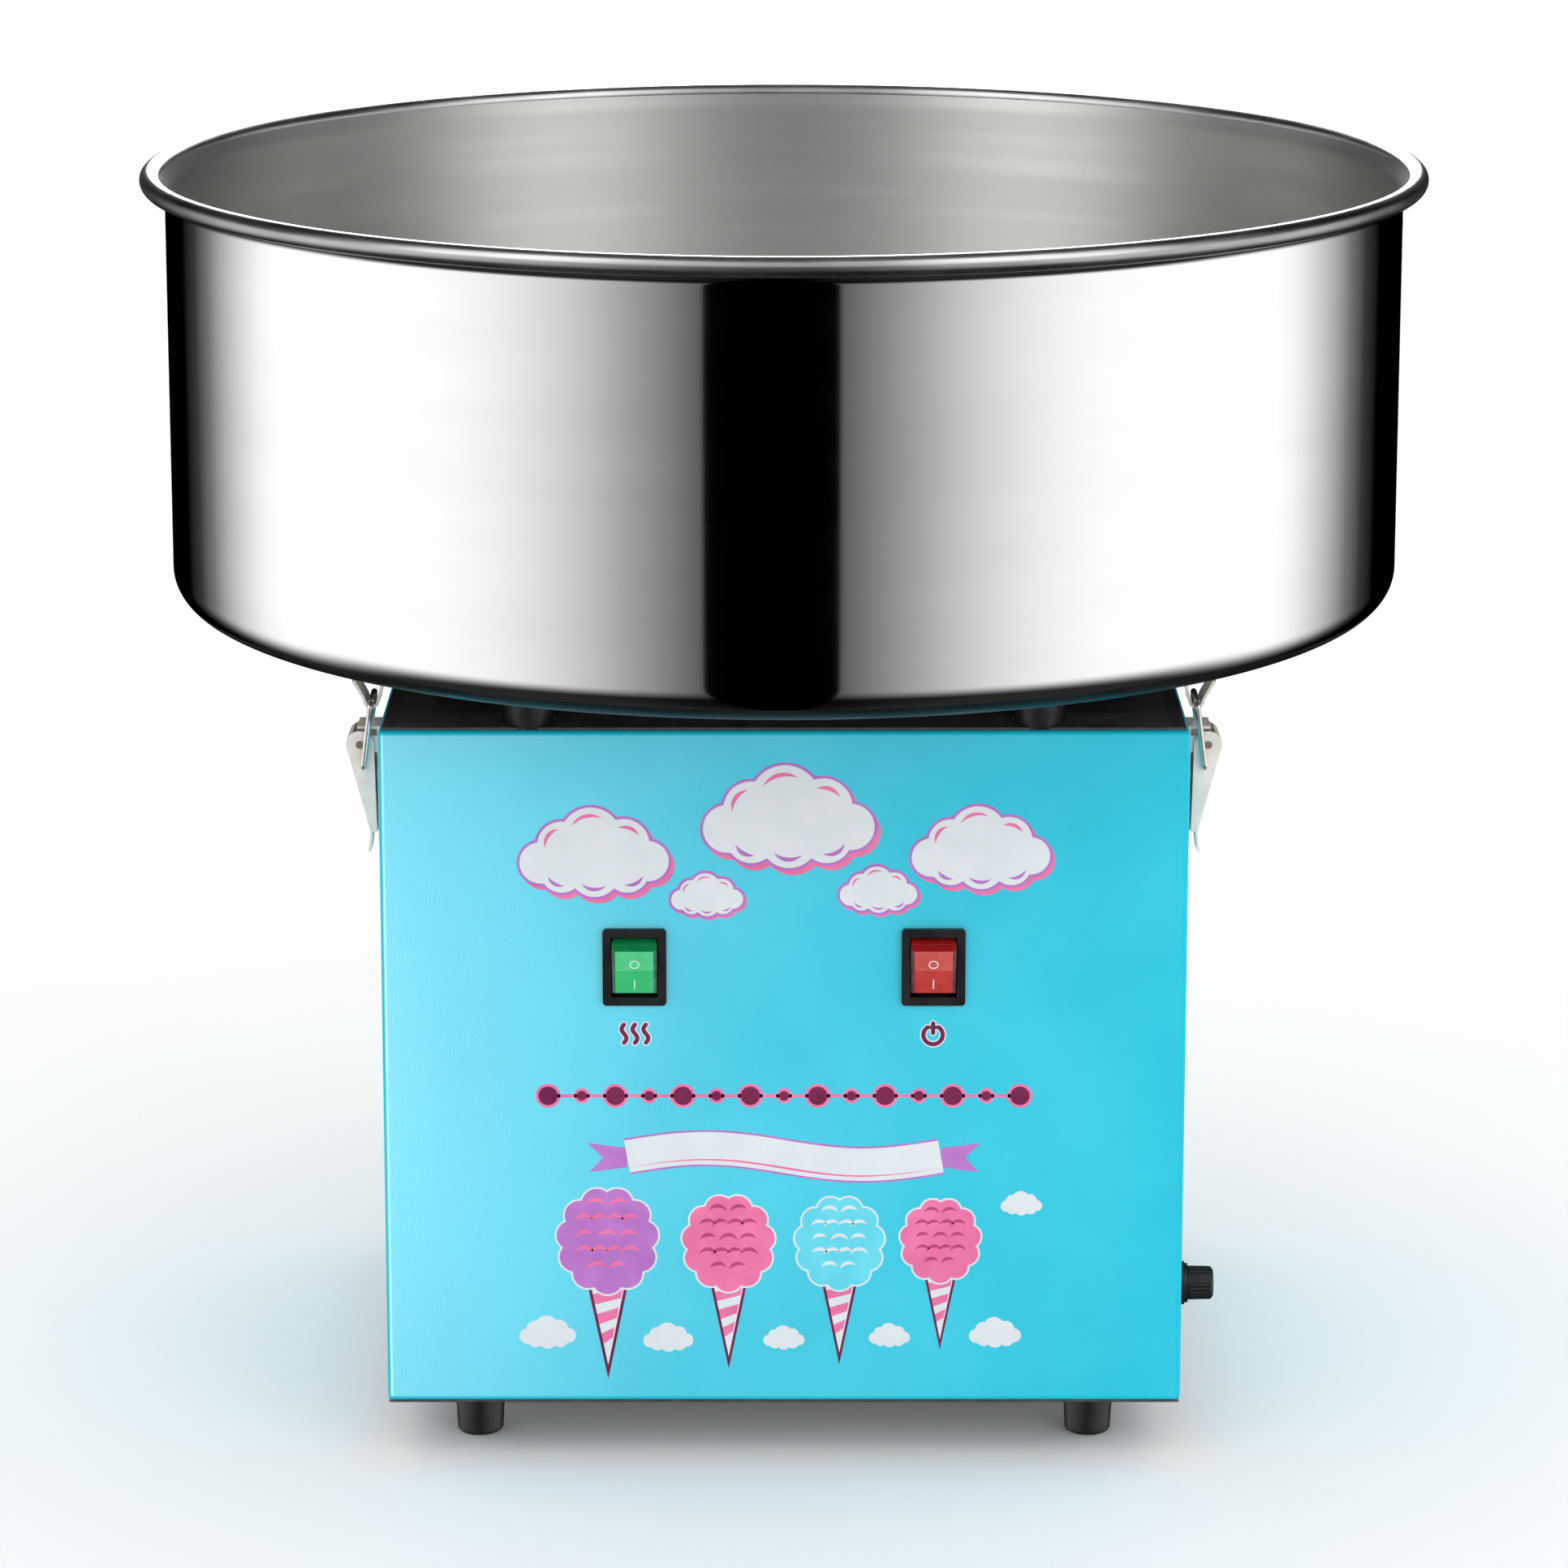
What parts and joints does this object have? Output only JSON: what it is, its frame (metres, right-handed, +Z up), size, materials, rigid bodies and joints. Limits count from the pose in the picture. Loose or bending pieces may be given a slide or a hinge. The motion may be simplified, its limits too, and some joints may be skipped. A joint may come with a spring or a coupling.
{
  "type": "cotton candy machine",
  "caption": "Tabletop floss machine: folded steel cabinet with rocker switches, spinning heated head and a wide spun-steel bowl held down by toggle latches.",
  "frame": {"origin": "on the ground under the middle of the cabinet, on the spinning head's axis", "axes": "+Z up, +X to the operator's right, front panel with the switches faces -Y"},
  "size_m": [0.5199, 0.52, 0.503],
  "materials": {
    "cyan_paint": "fine powder coat, satin",
    "deck_paint": "textured black powder coat",
    "bowl_steel": "polished spun stainless steel",
    "latch_steel": "bright nickel plate",
    "zinc_steel": "zinc plated",
    "black_rubber": "moulded rubber",
    "black_plastic": "fine matt moulding",
    "grey_plastic": "moulded insulator",
    "green_lens": "translucent green key",
    "red_lens": "translucent red key",
    "brass": "bare brass",
    "copper": "bare copper alloy",
    "aluminium": "spun and machined aluminium",
    "heater_alloy": "oxidised resistance alloy",
    "white_ceramic": "unglazed ceramic",
    "carbon": "pressed carbon",
    "motor_paint": "dark grey enamel",
    "fuse_glass": "clear glass",
    "white_wire": "silicone sleeve"
  },
  "bodies": {
    "cabinet": {"cabinet_shell": "cyan_paint", "back_panel": "cyan_paint", "base_plate": "zinc_steel", "deck_plate": "deck_paint", "foot_screws": "zinc_steel", "bowl_posts": "black_rubber", "heater_switch_housing": "black_plastic", "power_switch_housing": "black_plastic", "switch_terminals": "brass", "fuse_holder": "black_plastic", "fuse_nut": "black_plastic", "power_inlet": "black_plastic", "inlet_pins": "brass", "panel_screws": "zinc_steel", "motor": "motor_paint", "motor_bracket": "zinc_steel", "motor_bushes": "black_rubber", "motor_bolts": "zinc_steel", "brush_block": "grey_plastic", "carbon_brushes": "carbon", "brush_springs": "zinc_steel", "terminal_block": "grey_plastic", "inlet_lead": "white_wire", "fuse_lead": "white_wire", "switch_lead": "white_wire", "motor_lead": "white_wire", "deck_screws": "zinc_steel", "latch_bases": "latch_steel", "latch_pins": "latch_steel", "latch_rivets": "latch_steel", "foot_front_left": "black_rubber", "foot_front_right": "black_rubber", "foot_back_left": "black_rubber", "foot_back_right": "black_rubber"},
    "spinner": {"spinner_shaft": "zinc_steel", "ring_carrier": "grey_plastic", "slip_rings": "copper", "head_hub": "aluminium", "head_base": "aluminium", "sugar_cup": "aluminium", "heater_element": "heater_alloy", "ceramic_posts": "white_ceramic", "floss_screen": "bowl_steel", "head_cover": "aluminium", "head_screws": "zinc_steel"},
    "bowl": {"floss_bowl": "bowl_steel", "bowl_hooks": "latch_steel"},
    "heater_key": {"heater_rocker": "green_lens"},
    "power_key": {"power_rocker": "red_lens"},
    "fuse_link": {"fuse_tube": "fuse_glass"},
    "fuse_cap": {"fuse_cap": "black_plastic"},
    "lever_front_left": {"latch_lever_front_left": "latch_steel"},
    "bail_front_left": {"latch_bail_front_left": "latch_steel"},
    "lever_front_right": {"latch_lever_front_right": "latch_steel"},
    "bail_front_right": {"latch_bail_front_right": "latch_steel"},
    "lever_back_left": {"latch_lever_back_left": "latch_steel"},
    "bail_back_left": {"latch_bail_back_left": "latch_steel"},
    "lever_back_right": {"latch_lever_back_right": "latch_steel"},
    "bail_back_right": {"latch_bail_back_right": "latch_steel"}
  },
  "joints": [
    {"name": "head_spin", "type": "hinge", "parent": "cabinet", "child": "spinner", "pos_m": [0, 0, 0.3], "axis": [0, 0, 1], "continuous": true},
    {"name": "bowl_lift", "type": "slide", "parent": "cabinet", "child": "bowl", "axis": [0, 0, 1], "range_m": [0, 0.1]},
    {"name": "heater_switch", "type": "hinge", "parent": "cabinet", "child": "heater_key", "pos_m": [-0.0586, -0.136, 0.204], "axis": [-1, 0, 0], "range_deg": [0, 24]},
    {"name": "power_switch", "type": "hinge", "parent": "cabinet", "child": "power_key", "pos_m": [0.0586, -0.136, 0.204], "axis": [-1, 0, 0], "range_deg": [0, 24]},
    {"name": "fuse_draw", "type": "slide", "parent": "cabinet", "child": "fuse_link", "axis": [1, 0, 0], "range_m": [0, 0.04]},
    {"name": "fuse_cap_turn", "type": "hinge", "parent": "fuse_link", "child": "fuse_cap", "pos_m": [0.158, -0.11, 0.063], "axis": [1, 0, 0], "range_deg": [-90, 0]},
    {"name": "lever_front_left_swing", "type": "hinge", "parent": "cabinet", "child": "lever_front_left", "pos_m": [-0.1659, -0.118, 0.2901], "axis": [0, 1, 0], "range_deg": [0, 80]},
    {"name": "bail_front_left_swing", "type": "hinge", "parent": "lever_front_left", "child": "bail_front_left", "pos_m": [-0.1645, -0.118, 0.2813], "axis": [0, 1, 0], "range_deg": [-60, 0]},
    {"name": "lever_front_right_swing", "type": "hinge", "parent": "cabinet", "child": "lever_front_right", "pos_m": [0.1659, -0.118, 0.2901], "axis": [0, -1, 0], "range_deg": [0, 80]},
    {"name": "bail_front_right_swing", "type": "hinge", "parent": "lever_front_right", "child": "bail_front_right", "pos_m": [0.1645, -0.118, 0.2813], "axis": [0, -1, 0], "range_deg": [-60, 0]},
    {"name": "lever_back_left_swing", "type": "hinge", "parent": "cabinet", "child": "lever_back_left", "pos_m": [-0.1659, 0.118, 0.2901], "axis": [0, 1, 0], "range_deg": [0, 80]},
    {"name": "bail_back_left_swing", "type": "hinge", "parent": "lever_back_left", "child": "bail_back_left", "pos_m": [-0.1645, 0.118, 0.2813], "axis": [0, 1, 0], "range_deg": [-60, 0]},
    {"name": "lever_back_right_swing", "type": "hinge", "parent": "cabinet", "child": "lever_back_right", "pos_m": [0.1659, 0.118, 0.2901], "axis": [0, -1, 0], "range_deg": [0, 80]},
    {"name": "bail_back_right_swing", "type": "hinge", "parent": "lever_back_right", "child": "bail_back_right", "pos_m": [0.1645, 0.118, 0.2813], "axis": [0, -1, 0], "range_deg": [-60, 0]}
  ],
  "couplings": [
    {"joint": "bail_front_left_swing", "follows": "lever_front_left_swing", "ratio": -0.7},
    {"joint": "bail_front_right_swing", "follows": "lever_front_right_swing", "ratio": -0.7},
    {"joint": "bail_back_left_swing", "follows": "lever_back_left_swing", "ratio": -0.7},
    {"joint": "bail_back_right_swing", "follows": "lever_back_right_swing", "ratio": -0.7}
  ]
}
